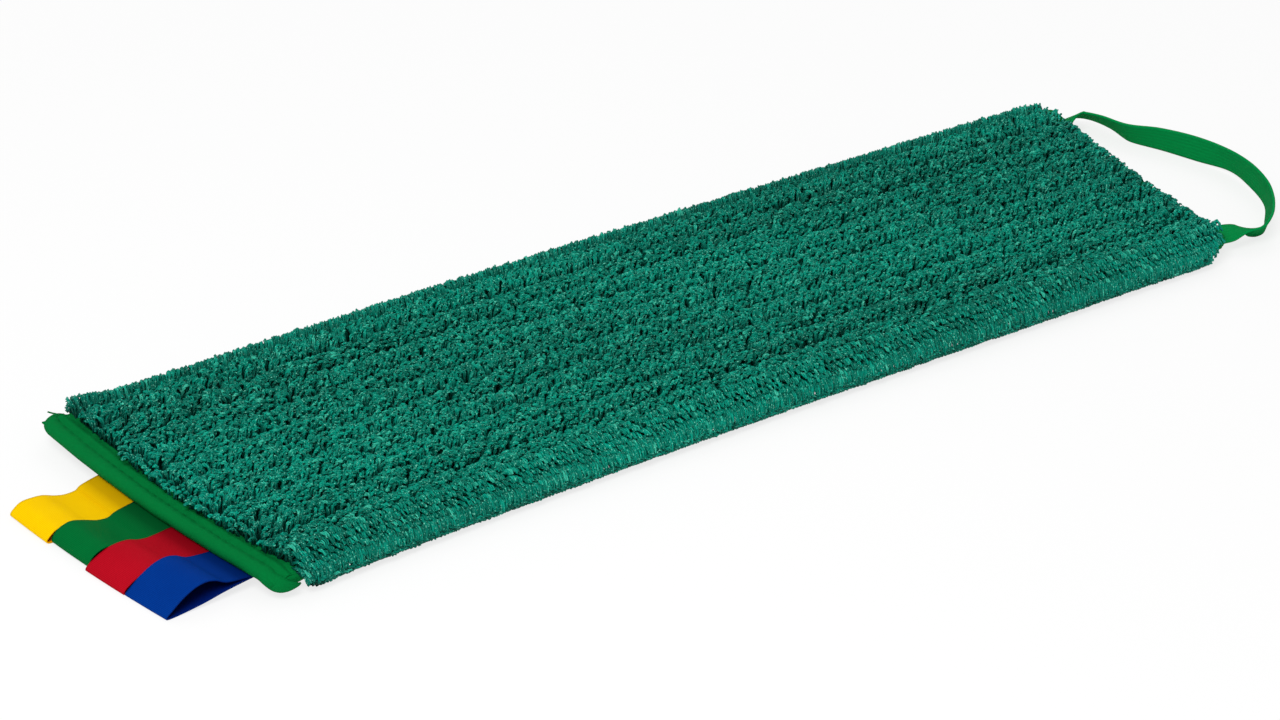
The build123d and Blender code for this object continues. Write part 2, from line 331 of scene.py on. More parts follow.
def smooth_path(points, count):
    """Evenly spaced points of a smooth curve through the given ones."""
    points = np.array(points, dtype=float)
    padded = np.vstack([2 * points[0] - points[1], points, 2 * points[-1] - points[-2]])
    fine = []
    for index in range(1, len(padded) - 2):
        before, start, end, after = padded[index - 1 : index + 3]
        t = np.linspace(0, 1, CURVE_STEPS, endpoint=False)[:, None]
        fine.append(0.5 * (2 * start + (end - before) * t
                           + (2 * before - 5 * start + 4 * end - after) * t**2
                           + (3 * start - before - 3 * end + after) * t**3))
    fine = np.vstack([*fine, points[-1:]])
    travelled = np.concatenate([[0], np.cumsum(np.linalg.norm(np.diff(fine, axis=0), axis=1))])
    wanted = np.linspace(0, travelled[-1], count)
    return np.stack([np.interp(wanted, travelled, column) for column in fine.T], axis=1)


def grid_quads(rows, columns, offset=0, flipped=False):
    """Quads of a grid of points, row by row."""
    index = offset + np.arange(rows * columns).reshape(rows, columns)
    corners = [index[:-1, :-1], index[1:, :-1], index[1:, 1:], index[:-1, 1:]]
    quads = np.stack([corner.ravel() for corner in corners], axis=1)
    return quads[:, ::-1] if flipped else quads


def cloth_piece(name, middle, thickness, finish, marks=None):
    """A closed sheet of cloth about a grid of points that shows its middle surface."""
    middle = np.asarray(middle, dtype=float)
    rows, columns = middle.shape[:2]
    down = np.gradient(middle, axis=0)
    over = np.gradient(middle, axis=1)
    normal = unit(np.cross(down, over))
    points = np.concatenate([(middle + normal * thickness / 2).reshape(-1, 3),
                             (middle - normal * thickness / 2).reshape(-1, 3)])
    count = rows * columns
    rim = np.concatenate([np.arange(columns - 1),
                          np.arange(1, rows) * columns - 1,
                          count - 1 - np.arange(columns - 1),
                          count - columns - np.arange(rows - 1) * columns])
    ring = np.stack([rim, np.roll(rim, -1), np.roll(rim, -1) + count, rim + count], axis=1)
    quads = np.vstack([grid_quads(rows, columns), grid_quads(rows, columns, count, True), ring])
    step_down = np.linalg.norm(np.diff(middle, axis=0), axis=2).mean(axis=1)
    step_over = np.linalg.norm(np.diff(middle, axis=1), axis=2).mean(axis=0)
    place_down = np.concatenate([[0], np.cumsum(step_down)])
    place_over = np.concatenate([[0], np.cumsum(step_over)])
    place = np.stack(np.meshgrid(place_down, place_over, indexing="ij"), axis=-1).reshape(-1, 2)
    place = np.concatenate([place, place])
    all_marks = {"side": np.repeat([1.0, 0.0], count)}
    for mark, values in (marks or {}).items():
        all_marks[mark] = np.concatenate([np.ravel(values), np.ravel(values)])
    return new_piece(name, points, quads, finish, {"weave": place[quads]}, all_marks)


def as_cloth(piece, body, nodes):
    """Attach a sheet of cloth to what it rides on, and hide the parts that it stands for."""
    if body:
        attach(piece, body)
    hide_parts(*nodes)


# ---------------------------------------------------------------- pile

TUFT_RINGS = 14
TUFT_SIDES = 4
STRAND = 0.38 * MM           # radius of one strand of a twisted loop
TWIST = 0.35 * MM            # distance of a strand from the middle of its loop
TURNS = (1.0, 1.7)           # of a strand from its root to its tip, fewest and most
TIP_SPEED = 40               # how fast a strand changes sides as it passes the tip
UNEVEN_TWIST = 0.15          # deviation of the twist's width from one loop to the next
UNEVEN_STRAND = 0.12         # deviation of the strand's radius
CELL_RIM = 0.07              # share of a bake cell that stays free along each of its sides


def tube_quads(count):
    """Quads of many tubes, open at their ends, each of TUFT_RINGS rings."""
    ring = np.arange(TUFT_RINGS - 1)[:, None] * TUFT_SIDES
    side = np.arange(TUFT_SIDES)[None]
    after = (side + 1) % TUFT_SIDES
    wall = np.stack([ring + side, ring + after, ring + TUFT_SIDES + after,
                     ring + TUFT_SIDES + side], axis=-1).reshape(-1, 4)
    starts = np.arange(count)[:, None, None] * TUFT_RINGS * TUFT_SIDES
    return (wall[None] + starts).reshape(-1, 4)


def bake_places(count):
    """One cell of the square for each tube, unrolled in it."""
    cells = int(np.ceil(np.sqrt(count)))
    ring = np.repeat(np.arange(TUFT_RINGS - 1), TUFT_SIDES)
    side = np.tile(np.arange(TUFT_SIDES), TUFT_RINGS - 1)
    u = np.stack([ring, ring, ring + 1, ring + 1], axis=1) / (TUFT_RINGS - 1)
    v = np.stack([side, side + 1, side + 1, side], axis=1) / TUFT_SIDES
    one = np.stack([u, v], axis=-1) * (1 - 2 * CELL_RIM) + CELL_RIM
    index = np.arange(count)
    corner = np.stack([index % cells, index // cells], axis=1)[:, None, None]
    return ((one[None] + corner) / cells).reshape(-1, 2)


def twisted_loops(roots, knees, tips):
    """Twisted loops of yarn. Each leaves its root towards its knee and bends over to its tip."""
    count = len(roots)
    # One yarn runs out to the tip and back, so it makes both strands of a loop
    along = np.linspace(0, 1, TUFT_RINGS)[None, :]
    t = np.repeat(1 - np.abs(2 * along - 1) ** 1.25, count, axis=0)[..., None]
    root, knee, tip = roots[:, None], knees[:, None], tips[:, None]
    middle = (1 - t) ** 2 * root + 2 * t * (1 - t) * knee + t**2 * tip
    tangent = unit(2 * (1 - t) * (knee - root) + 2 * t * (tip - knee))
    side = unit(np.cross(tangent, np.array([0.31, 0.22, 0.92])))
    other = np.cross(tangent, side)
    turns = random.uniform(*TURNS, count)[:, None]
    start = random.uniform(0, 2 * pi, count)[:, None]
    # On its way back it lies opposite to its way out
    crossing = 1 / (1 + np.exp(-(along - 0.5) * TIP_SPEED))
    angle = start + 2 * pi * turns * t[..., 0] + pi * crossing
    spread = TWIST * (1 + UNEVEN_TWIST * random.standard_normal((count, 1)))
    beyond = tangent * (spread * np.exp(-((along - 0.5) * 14) ** 2))[..., None]
    centre = middle + spread[..., None] * (np.cos(angle)[..., None] * side
                                           + np.sin(angle)[..., None] * other) + beyond
    # Each ring takes its direction round the yarn from the ring before it
    direction = unit(np.gradient(centre, axis=1))
    normal = np.empty_like(centre)
    normal[:, 0] = unit(np.cross(direction[:, 0], np.array([0.13, 0.97, 0.2])))
    for ring in range(1, TUFT_RINGS):
        carried = normal[:, ring - 1]
        ahead = direction[:, ring]
        normal[:, ring] = unit(carried - (carried * ahead).sum(-1, keepdims=True) * ahead)
    binormal = np.cross(direction, normal)
    around = np.arange(TUFT_SIDES) * 2 * pi / TUFT_SIDES
    radius = STRAND * (1 + UNEVEN_STRAND * random.standard_normal((count, 1, 1, 1)))
    points = centre[:, :, None] + radius * (np.cos(around)[:, None] * normal[:, :, None]
                                            + np.sin(around)[:, None] * binormal[:, :, None])
    return points, np.broadcast_to(t, (count, TUFT_RINGS, TUFT_SIDES))


LYING_PITCH = 1.45 * MM      # from one loop of a line to the next
DRAPED_PITCH = 1.35 * MM
RIM_PITCH = 1.7 * MM
LINES_IN_ROW = 6
STRAPWARD = 0.7              # share of the lying loops that point to the strap
LYING_LENGTH = (1.4, 3.6)    # of a lying loop from root to tip, in millimetres
KNEE_RISE = (0.9, 2.0)       # of a lying loop's knee above its tip, in millimetres
RIM_LENGTH = (3.4, 4.8)      # of a loop along the lowest part of an edge, in millimetres
# Lines of loops over a long edge, from the top down, in millimetres: distance of their roots
# in from the edge, distance of their tips out from it, height of their tips
FRINGE = [(8.2, -3.2, 8.5), (6.5, -1.2, 7.4), (4.9, 0.6, 5.8), (3.7, 1.8, 3.9)]
DRAPE = [(2.7, 2.7, 2.2), (1.9, 3.2, 0.7), (1.2, 3.4, -0.8), (0.6, 3.2, -2.1), (0.1, 2.6, -3.2)]
# Lines along the lowest part of a long edge, in millimetres: distance out from it, height
RIM = [(3.2, -0.9), (3.2, -1.8), (2.7, -2.6), (2.0, -3.3)]
PILE_CORNERS = (13.0 * MM, 23.0 * MM)   # radius near and far at the strap end
# Places across the cover, and how far in from the pile's tag end the tufts begin there
PILE_START = np.array([(-62, 0.8), (-50, 0.2), (-33, -0.8), (-4, -1.8), (20, -0.8), (42, 0.4),
                       (60, 1.4)]) * MM
START_FADE = 14 * MM         # how far along the cover that shift fades
UNEVEN_PITCH = 0.25          # deviation of a loop's place, as a share of its line's pitch
PAINTED_HIGHLIGHT_SHARE = 0.05            # share of the loops painted pale, as highlights


def steady(spread, count):
    """Normal deviations without the rare large ones."""
    return spread * np.clip(random.standard_normal(count), -1.6, 1.6)


def along_cover(pitch, y):
    """Uneven places along the cover for one line of tufts."""
    x = np.arange(PILE_LEFT + random.uniform(0, pitch), PILE_RIGHT + 1.0 * MM, pitch)
    start = np.interp(y, *PILE_START.T)
    x = x + start * np.clip(1 - (x - PILE_LEFT) / START_FADE, 0, 1)
    return x + steady(UNEVEN_PITCH * pitch, len(x))


def lying_line(y, lean, height, waver):
    """Loops that stand in one line on the backing and bend over, mostly along the cover."""
    x = along_cover(LYING_PITCH, y)
    count = len(x)
    root = np.stack([x, y + steady(0.3 * MM, count), np.full(count, BODY_TOP)], axis=1)
    forward = np.where(random.random(count) < STRAPWARD, 1.0, -1.0)
    heading = steady(0.55, count) + waver * np.sin(x * 55 + y * 300)
    length = random.uniform(*LYING_LENGTH, count) * MM
    over = np.stack([forward * length * np.cos(heading), lean + length * np.sin(heading),
                     np.zeros(count)], axis=1)
    # The first loops lie back towards the tags, the last ones reach low over the strap's end
    at_start = np.clip((PILE_LEFT + 3 * MM - x) / (2 * MM), 0, 1)
    over[:, 0] -= at_start * (np.maximum(over[:, 0], 0) + 1.7 * MM)
    past_right = np.clip((x - PILE_RIGHT + 3.5 * MM) / (3.5 * MM), 0, 1)
    over[:, 0] = np.where(past_right > 0, 2.4 * MM + 0.4 * np.abs(over[:, 0]), over[:, 0])
    tip_height = (height + steady(0.35 * MM, count)) * (1 - 0.6 * past_right)
    tip = root + over
    tip[:, 2] += tip_height
    knee = root + 0.28 * over
    knee[:, 2] += tip_height + random.uniform(*KNEE_RISE, count) * MM
    return root, knee, tip


def edge_lift(x):
    """How far the lowest tufts of a long edge stay up at its two ends."""
    at_tags = smooth_step(-x, -PILE_LEFT - 10 * MM, -PILE_LEFT)
    at_strap = smooth_step(x, PILE_RIGHT - 16 * MM, PILE_RIGHT - 3 * MM)
    return 3.2 * MM * at_tags + 1.8 * MM * at_strap


def rim_line(side, out, height):
    """Loops that lie one behind the other along the lowest part of a long edge."""
    y = side * (BODY_HALF + out)
    x = along_cover(RIM_PITCH, y)
    x = x[x > PILE_LEFT + 3.5 * MM]
    count = len(x)
    root = np.stack([x, y + steady(0.15 * MM, count), height + edge_lift(x)], axis=1)
    tip = root + np.stack([random.uniform(*RIM_LENGTH, count) * MM, steady(0.25 * MM, count),
                           steady(0.25 * MM, count)], axis=1)
    knee = (root + tip) / 2
    knee[:, 1] += side * 0.5 * MM
    return root, knee, tip


def draped_line(side, inset, tip_out, tip_height):
    """Loops that start near a long edge, run out over it and hang down to a height."""
    y = side * (BODY_HALF - inset)
    x = along_cover(DRAPED_PITCH, y)
    count = len(x)
    root = np.stack([x, y + steady(0.4 * MM, count), np.full(count, BODY_TOP)], axis=1)
    drift = (1.1 + 0.6 * np.sin(x * 40 + side)) * MM + steady(0.5 * MM, count)
    # Lines that hang below the backing stay up at their ends; one far corner is fuller
    lift = edge_lift(x) * (tip_height < BODY_TOP)
    far_corner = (side > 0) * smooth_step(-x, -PILE_LEFT - 16 * MM, -PILE_LEFT - 2 * MM)
    tip = root.copy()
    tip[:, 0] += drift
    tip[:, 1] = side * (BODY_HALF + tip_out + steady(0.3 * MM, count)) + 1.8 * MM * far_corner
    tip[:, 2] = tip_height + lift + steady(0.3 * MM, count) + 1.2 * MM * far_corner
    tip[:, 2] -= 0.9 * MM * (side > 0) * smooth_step(x, PILE_RIGHT - 14 * MM, PILE_RIGHT - 6 * MM)
    # A loop that hangs lower has its knee further out
    share = 0.55 + 0.45 * smooth_step(BODY_TOP - tip[:, 2], 0, 6 * MM)
    knee = root + (tip - root) * np.stack([0.5 * np.ones(count), share, np.zeros(count)], axis=1)
    knee[:, 1] += side * 0.6 * MM
    knee[:, 2] = np.maximum(tip[:, 2], BODY_TOP) + (1.2 * MM + 0.42 * inset
                                                    + steady(0.5 * MM, count))
    return root, knee, tip


def pile_piece(name, node, lines, row_light_shift=0.0):
    """One mesh of twisted loops from several lines of them."""
    roots, knees, tips = (np.concatenate(parts) for parts in zip(*lines))
    # Nothing stands outside the round corners at the strap end
    radius = np.where(roots[:, 1] < 0, *PILE_CORNERS)
    past = np.maximum(roots[:, 0] - (PILE_RIGHT + 1.0 * MM - radius), 0)
    aside = np.clip(np.abs(roots[:, 1]) - (BODY_HALF - radius), 0, radius - 0.1 * MM)
    kept = np.hypot(past, aside) < radius
    roots, knees, tips = roots[kept], knees[kept], tips[kept]
    points, depth = twisted_loops(roots, knees, tips)
    count = len(points)
    points = lie(points)
    points[..., 2] = np.maximum(points[..., 2], FLOOR + 0.2 * MM)
    # Random tone of the yarn, slow bands of painted light and shade where the rows lean different
    # ways, and a few strands painted pale as highlights
    band = 0.1 * np.sin(roots[:, 0] * 21 + roots[:, 1] * 60) + row_light_shift
    tone_and_light = np.clip(random.beta(1.5, 2.6, count) + band, 0, 1)
    tone_and_light = np.where(random.random(count) < PAINTED_HIGHLIGHT_SHARE, random.uniform(1.1, 1.6, count), tone_and_light)
    piece = new_piece(name, points.reshape(-1, 3), tube_quads(count), PILE,
                      {"OFBake": bake_places(count)},
                      {"tone_and_light": np.repeat(tone_and_light, TUFT_RINGS * TUFT_SIDES), "depth": depth})
    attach(piece, "cover")
    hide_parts(node)


def make_edge_row(node, side):
    """The row over a long edge: two lying lines, the fringe over the edge and the drape below."""
    low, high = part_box(node)
    start = min(abs(float(low[1])), abs(float(high[1])))
    band = [lying_line(side * (start + step * 1.5 * MM), side * lean * MM, 5.1 * MM, 0.2)
            for step, lean in enumerate((0.8, 1.6))]
    pile_piece(node.replace("pile_row", "twisted_row"), node, band)
    fringe = [draped_line(side, *(size * MM for size in hang)) for hang in FRINGE]
    pile_piece(node.replace("pile_row", "twisted_fringe"), node, fringe)
    drape = [draped_line(side, *(size * MM for size in hang)) for hang in DRAPE]
    drape += [rim_line(side, out * MM, height * MM) for out, height in RIM]
    pile_piece(node.replace("pile_row", "twisted_drape"), node, drape)


def make_lying_row(node):
    """A row on the backing: a ridge of lying lines, highest in its middle."""
    low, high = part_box(node)
    middle = float(low[1] + high[1]) / 2
    pitch = float(high[1] - low[1]) / LINES_IN_ROW
    outward = 1.2 * MM * np.clip((abs(middle) - 35 * MM) / (20 * MM), 0, 1) * np.sign(middle)
    sway = random.uniform(-0.7, 0.7) * MM
    lines = []
    for step in range(LINES_IN_ROW):
        place = (2 * step + 1) / LINES_IN_ROW - 1
        y = middle + place * pitch * (LINES_IN_ROW / 2 - 0.15)
        lean = outward + sway - 0.8 * MM * place
        height = (5.3 - 1.5 * abs(place) ** 3) * MM
        lines.append(lying_line(y, lean, height, 0.35))
    # Painted light and shade for the whole row, as if from its lean
    row_light_shift = random.uniform(-0.08, 0.08)
    pile_piece(node.replace("pile_row", "twisted_row"), node, lines, row_light_shift)


def make_pile():
    """All rows, from the near long edge to the far one."""
    near_row, *lying_rows, far_row = sorted(
        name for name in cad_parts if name.startswith("pile_row_"))
    make_edge_row(near_row, -1)
    for node in lying_rows:
        make_lying_row(node)
    make_edge_row(far_row, 1)


# ---------------------------------------------------------------- cloth layers and tapes

EDGE_INSET = 1.6 * MM        # of the inner layers from the cover's edge, inside the tapes
SECTION_POINTS = 34          # across a folded tape
PUCKER_REACH = 2.2 * MM      # from the seam, over which the puckers fade
CLOSED_LINES = 14            # of a tape's section, where it draws in at one end
SMALLEST = 0.12              # of a drawn-in section, as a share of the whole one


def inside_tapes(low, high, rows, columns):
    """Places x and y over a layer that ends inside the tapes."""
    return np.meshgrid(np.linspace(low[0] + EDGE_INSET, high[0] - EDGE_INSET, rows),
                       np.linspace(low[1] + EDGE_INSET, high[1] - EDGE_INSET, columns),
                       indexing="ij")


def flat_layer(name, node, finish):
    low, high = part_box(node)
    x, y = inside_tapes(low, high, 90, 30)
    z = np.full_like(x, (low[2] + high[2]) / 2)
    return cloth_piece(name, lie(np.stack([x, y, z], axis=-1)), float(high[2] - low[2]), finish)


def tape_round_edge(profile, start, end, outward, count, pucker, seam, closed=0.0):
    """A tape folded round an edge: profile gives (inward distance, height) across it.

    start and end are the edge's ends, outward points away from the cover. Puckers lift the
    tape between its stitches, most of all near seam, an inward distance. Within closed of
    each end the tape's section draws in on itself, so that its ends are shut.
    """
    section = smooth_path(profile, SECTION_POINTS)
    start, end, outward = (np.array(corner, dtype=float) for corner in (start, end, outward))
    length = np.linalg.norm(end - start)
    share = np.linspace(0, 1, count)
    if closed:
        near_end = np.linspace(0, 1, CLOSED_LINES)
        tight = closed / length * (1 - np.cos(near_end * pi / 2))
        share = np.concatenate([tight[:-1], np.linspace(tight[-1], 1 - tight[-1], count),
                                1 - tight[-2::-1]])
    travelled = share * length
    inward, height = section[:, 0], section[:, 1]
    near_seam = np.exp(-((inward - seam) / PUCKER_REACH) ** 2) * (height > height.mean())
    # One pucker for each stitch above, and slow changes of height everywhere
    wave = np.sin(travelled * 2 * pi / STITCH_PITCH + 1.3 * np.sin(travelled * 190))
    slow = np.sin(travelled * 170) + 0.6 * np.sin(travelled * 410 + 1)
    lift = pucker * (wave[:, None] * near_seam[None] + 0.35 * slow[:, None])
    inward = np.repeat(inward[None], len(share), axis=0)
    height = height[None] + lift
    if closed:
        from_end = np.minimum(travelled, length - travelled)
        size = np.sqrt(1 - np.clip(1 - from_end / closed, 0, 1) ** 2)[:, None]
        size = np.maximum(size, SMALLEST)
        heart = (inward.max() * 0.5, height.mean())
        inward = heart[0] + (inward - heart[0]) * size
        height = heart[1] + (height - heart[1]) * size
    edge = start + (end - start) * share[:, None]
    place = edge[:, None] - outward * inward[..., None]
    place[..., 2] = height
    return place


def corner_round(place, edge_half, radius, direction):
    """Draw the ends of a tape in along the cover, so that its corners are round."""
    past = np.clip(np.abs(place[..., 1]) - (edge_half - radius), 0, radius) / radius
    place[..., 0] -= direction * radius * (1 - np.sqrt(np.maximum(1 - past**2, 0)))
    return place


def make_layers():
    """Backing, core and back cloth, which end inside the tapes."""
    backing = flat_layer("woven_backing", "tuft_backing", BACKING)
    as_cloth(backing, "cover", ["tuft_backing"])
    core = flat_layer("felt_core", "core_felt", FELT)
    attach(core, "cover")
    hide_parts("core_felt")
    x, y = inside_tapes(*BACK_CLOTH, 160, 60)
    edge = (BODY_HALF - 6 * MM - np.abs(y)) / (5 * MM)
    ends = np.minimum(x - MOUTH_HEM[1][0], RIGHT - 24 * MM - x) / (8 * MM)
    # Away from its seams the cloth hangs a little lower
    swell = smooth_step(np.minimum(edge, ends), 0, 1)
    z = BACK_UNDERSIDE + 0.3 * MM - 0.3 * MM * swell
    z = z + 0.06 * MM * np.sin(x * 90) * np.cos(y * 70)
    back = cloth_piece("woven_back", lie(np.stack([x, y, z], axis=-1)), CLOTH_THICKNESS, CLOTH)
    as_cloth(back, "cover", ["back_cloth"])


def make_rolled_binding():
    """The binding of the tag end, which bulges into a roll above."""
    under, top = (float(corner[2]) for corner in TAG_BINDING)
    half = float(TAG_BINDING[1][1])
    profile = [(6.8 * MM, under + 0.3 * MM), (4.8 * MM, under + 0.2 * MM),
               (3.2 * MM, under + 0.2 * MM), (1.8 * MM, under + 0.3 * MM),
               (0.9 * MM, under + 0.6 * MM), (0.3 * MM, under + 1.4 * MM),
               (0.0, under + 2.6 * MM), (0.7 * MM, top + 0.1 * MM), (2.6 * MM, top + 0.9 * MM),
               (4.4 * MM, top + 0.5 * MM), (5.4 * MM, top - 0.3 * MM), (5.9 * MM, top - 0.6 * MM)]
    place = tape_round_edge(profile, (LEFT, half, 0), (LEFT, -half, 0), (-1, 0, 0), 400,
                            0.14 * MM, 5.2 * MM, closed=3.5 * MM)
    rolled = lie(corner_round(place, half, 7 * MM, -1))
    roll = cloth_piece("rolled_binding", rolled, CLOTH_THICKNESS, BINDING)
    as_cloth(roll, "cover", ["tag_end_binding"])


def pressed_section(depth, turn):
    """Section of a tape that is pressed flat round the cover's edge.

    turn gives, in millimetres, how far in its turn starts below, how far above the underside
    the edge itself is, and how far in the turn ends above.
    """
    under, top = (float(corner[2]) for corner in STRAP_BINDING)
    starts, edge, ends = (size * MM for size in turn)
    return [(depth, under + 0.3 * MM), (depth / 2, under), (starts, under + 0.2 * MM),
            (0.0, under + edge), (ends, top - 0.4 * MM), (depth / 2, top),
            (depth, top - 0.3 * MM)]


def make_strap_end_tape():
    """The thin binding of the strap end."""
    half = float(STRAP_BINDING[1][1])
    depth = float(STRAP_BINDING[1][0] - STRAP_BINDING[0][0])
    place = tape_round_edge(pressed_section(depth, (0.8, 1.4, 0.5)), (RIGHT, -half, 0),
                            (RIGHT, half, 0), (1, 0, 0), 300, 0.15 * MM, depth - 1 * MM,
                            closed=3 * MM)
    pressed = lie(corner_round(place, half, 6 * MM, 1))
    tape = cloth_piece("strap_end_tape", pressed, TAPE_THICKNESS, BINDING)
    as_cloth(tape, "cover", ["strap_end_binding"])


def make_side_hems():
    """The tapes of both long edges, under the hanging loops."""
    for side, node in ((-1, "side_hem_near"), (1, "side_hem_far")):
        low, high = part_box(node)
        depth = float(high[1] - low[1])
        ends = [(low[0], side * BODY_HALF, 0), (high[0], side * BODY_HALF, 0)]
        if side > 0:
            ends.reverse()
        place = tape_round_edge(pressed_section(depth, (0.6, 1.5, 0.6)), *ends, (0, side, 0), 500,
                                0.12 * MM, depth - 1 * MM)
        hem = cloth_piece(f"{node}_tape", lie(place), TAPE_THICKNESS, BINDING)
        as_cloth(hem, "cover", [node])


def make_inner_strip():
    """The flat strip between the rolled binding and the pile, tucked under both."""
    low, high = FACING
    under_roll, under_pile = 6.6 * MM, 1.2 * MM
    x, y = np.meshgrid(np.linspace(low[0] - under_roll, high[0] + under_pile, 26),
                       np.linspace(-BODY_HALF + 0.6 * MM, BODY_HALF - 0.6 * MM, 240),
                       indexing="ij")
    inward = (x - low[0]) / MM
    z = high[2] - 0.3 * MM + 1.0 * MM * np.exp(-((inward - 0.9) / 1.5) ** 2)
    z = z + 0.12 * MM * np.sin(y * 2 * pi / STITCH_PITCH) * np.exp(-((inward + 0.6) / 1.2) ** 2)
    z = z + 0.15 * MM * np.sin(y * 160 + 1) * np.exp(-((inward - 1.5) / 2.5) ** 2)
    strip = cloth_piece("inner_strip", lie(np.stack([x, y, z], axis=-1)), TAPE_THICKNESS, BINDING)
    as_cloth(strip, "cover", ["tag_end_facing"])


# ---------------------------------------------------------------- frame pocket


def make_pocket():
    """The frame's pocket on the back, with a hem at its closed end and one at its mouth."""
    low, high = POCKET
    x_line = np.linspace(low[0], high[0], 90)
    half = float(high[1])
    wall = [(half, BACK_UNDERSIDE), (half, low[2] + 3.0 * MM),
            (half - 1.2 * MM, low[2] + 0.5 * MM), (half - 6 * MM, low[2] + 0.3 * MM)]
    other_wall = [(-y, z) for y, z in wall]
    section = smooth_path([*other_wall, (0, low[2] + 0.3 * MM), *reversed(wall)], 160)
    x = np.repeat(x_line[:, None], len(section), axis=1)
    y = np.repeat(section[None, :, 0], len(x_line), axis=0)
    z = np.repeat(section[None, :, 1], len(x_line), axis=0)
    cloth = cloth_piece("pocket_cloth", lie(np.stack([x, y, z], axis=-1)), CLOTH_THICKNESS, CLOTH)
    as_cloth(cloth, "cover", ["pocket_panel"])
    for name, node, box, outward in (("pocket_end_roll", "pocket_end_hem", END_HEM, -1),
                                     ("pocket_mouth_roll", "pocket_mouth_hem", MOUTH_HEM, 1)):
        low, high = box
        depth = float(high[0] - low[0])
        edge = float(high[0] if outward > 0 else low[0])
        profile = [(depth, low[2] + 0.3 * MM), (depth / 2, low[2] + 0.25 * MM),
                   (0.6 * MM, low[2] + 0.35 * MM), (0.0, (low[2] + high[2]) / 2),
                   (0.6 * MM, high[2] - 0.3 * MM), (depth / 2, high[2] - 0.2 * MM),
                   (depth, high[2] - 0.3 * MM)]
        half = float(high[1]) - 0.3 * MM
        ends = [(edge, half, 0), (edge, -half, 0)]
        if outward > 0:
            ends.reverse()
        place = tape_round_edge(profile, *ends, (outward, 0, 0), 300, 0.06 * MM,
                                depth - 1 * MM)
        hem = cloth_piece(name, lie(place), TAPE_THICKNESS, BINDING)
        as_cloth(hem, "cover", [node])


# ---------------------------------------------------------------- colour tags

# Side view of each ribbon from its upper root round its tip to its lower root:
# (distance past the bend, height above the floor) in millimetres
TAG_PATHS = {
    "yellow": [(0.9, 5.4), (2.8, 3.7), (4.9, 2.3), (8.6, 2.0), (13, 2.9), (18, 4.7), (22.6, 5.1),
               (26.2, 4.8), (28.7, 3.2), (30.1, 1.6), (29.4, 0.6), (26, 0.35), (16, 0.35),
               (8, 0.5), (4, 2.0), (0.9, 4.6)],
    "green": [(0.9, 5.4), (3.4, 4.2), (6.6, 2.9), (11, 3.4), (16.4, 5.3), (21, 6.5),
              (24.7, 5.7), (27.4, 3.8), (28.4, 1.8), (27.4, 0.6), (23, 0.4), (15, 0.4),
              (9, 0.9), (4.5, 2.8), (0.9, 4.6)],
    "red": [(0.9, 5.4), (4.5, 4.8), (9, 5.3), (14, 6.8), (19.2, 6.8), (23.9, 5.4), (27.9, 3.1),
            (29.9, 1.1), (28.8, 0.4), (22.5, 0.6), (14, 1.6), (7, 2.9), (0.9, 4.6)],
    "blue": [(0.9, 5.4), (5, 6.6), (10, 9.0), (14, 9.8), (18.4, 8.9), (23.2, 6.3), (27.4, 3.0),
             (29.6, 0.9), (28.5, 0.35), (23, 0.8), (15, 1.9), (7, 3.4), (0.9, 4.6)],
}
RIBBON_GRID = (190, 22)      # points along and across a ribbon


def ribbon_finish(name, base, shade, inside):
    """Woven ribbon: fine ribs across it, with painted shade where it leaves the binding and inside
    its fold.
    """
    finish = Finish(name, 0.6, Specular_IOR_Level=0.02)
    along, across = finish.weave_place()
    ribs = (along * (2 * pi / (0.55 * MM))).sine()
    threads = (across * (2 * pi / (0.40 * MM))).sine()
    weave = ribs * 0.7 + threads * 0.3
    patch = finish.noise(90.0)
    mixed = finish.blend(weave.within(-1.0, 0.4), shade, base)
    worn = finish.blend(patch.within(0.35, 0.85) * 0.3, mixed, shade)
    # Painted shade where the ribbon comes out from under the roll
    root_shade_colour = tuple(0.45 * part for part in shade[:3]) + (1.0,)
    outer = finish.blend(finish.mark("painted_root_shade") * 0.7, worn, root_shade_colour)
    # Inside its fold the ribbon takes a painted shade colour
    finish.set("Base Color", finish.blend(finish.mark("side"), inside, outer))
    finish.bump(weave, 0.05 * MM, 0.5)
    return finish.material


def make_tags():
    """One ribbon for each tag, folded over and sewn in under the roll with both its ends."""
    for colour_name, path in TAG_PATHS.items():
        finish = ribbon_finish(f"ribbon_{colour_name}", *RIBBON_COLOURS[colour_name])
        body = f"tag_{colour_name}"
        low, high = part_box(body)
        root_low, root_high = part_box(f"{body}_root")
        bend = float(root_low[0])
        sewn = (bend - float(root_high[0])) / MM
        above = (float(root_high[2]) - 0.3 * MM - FLOOR) / MM
        below = (float(root_low[2]) + 0.3 * MM - FLOOR) / MM
        outline = [(sewn, above), (sewn / 2, above), *path[1:-1], (sewn / 2, below), (sewn, below)]
        line = smooth_path(np.array(outline) * MM, RIBBON_GRID[0])
        y = np.linspace(high[1], low[1], RIBBON_GRID[1])
        place = np.empty((len(line), len(y), 3))
        place[..., 0] = bend - line[:, :1]
        place[..., 1] = y[None]
        place[..., 2] = FLOOR + line[:, 1:]
        # Painted shade of the roll over the ribbon, fading over 5 mm past the bend
        painted_root_shade = np.repeat(np.exp(-np.maximum(line[:, :1], 0) / (5 * MM)), len(y), axis=1)
        piece = cloth_piece(f"ribbon_{colour_name}", lie(place), TAPE_THICKNESS, finish,
                            {"painted_root_shade": painted_root_shade})
        as_cloth(piece, None, [body, f"{body}_root"])
        middle = float(lie([bend, (low[1] + high[1]) / 2, 0.0])[0])
        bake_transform(piece)


# ---------------------------------------------------------------- strap

